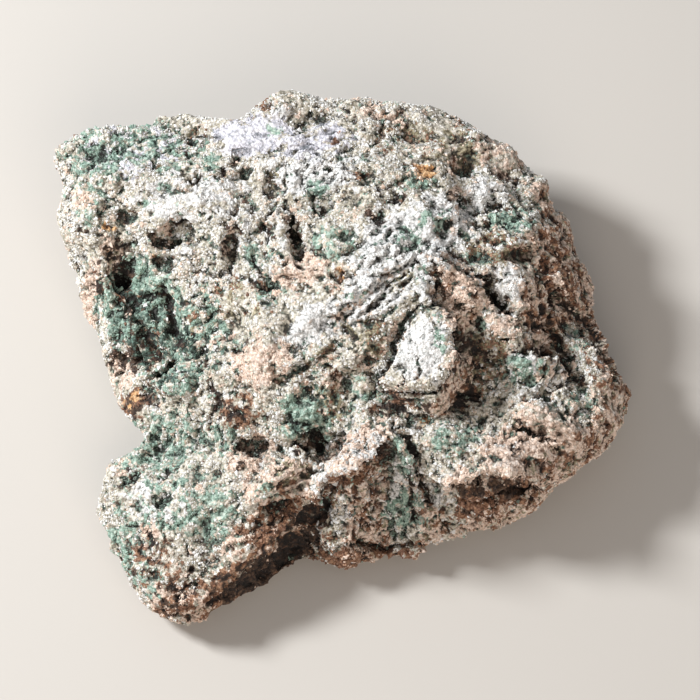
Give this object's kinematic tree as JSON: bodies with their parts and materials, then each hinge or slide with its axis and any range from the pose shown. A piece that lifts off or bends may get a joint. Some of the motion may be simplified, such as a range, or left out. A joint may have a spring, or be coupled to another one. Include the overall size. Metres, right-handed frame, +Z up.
{
  "type": "copper ore specimen",
  "caption": "Palm-sized rough slab of oxidised copper ore with a pitted upper face, a raised block, a low lobe and an overhanging ledge.",
  "frame": {"origin": "middle of the bounding box's floor, on the plane the stone rests on", "axes": "+Z up out of the pitted upper face, +X towards the right-hand tip along the longest side, +Y towards the thick straight far edge"},
  "size_m": [0.117, 0.1068, 0.0386],
  "materials": {
    "copper_ore": "rough broken rock with a pale crust, green copper minerals and rust-brown patches"
  },
  "bodies": {
    "root": {"ore_slab": "copper_ore"}
  },
  "joints": []
}
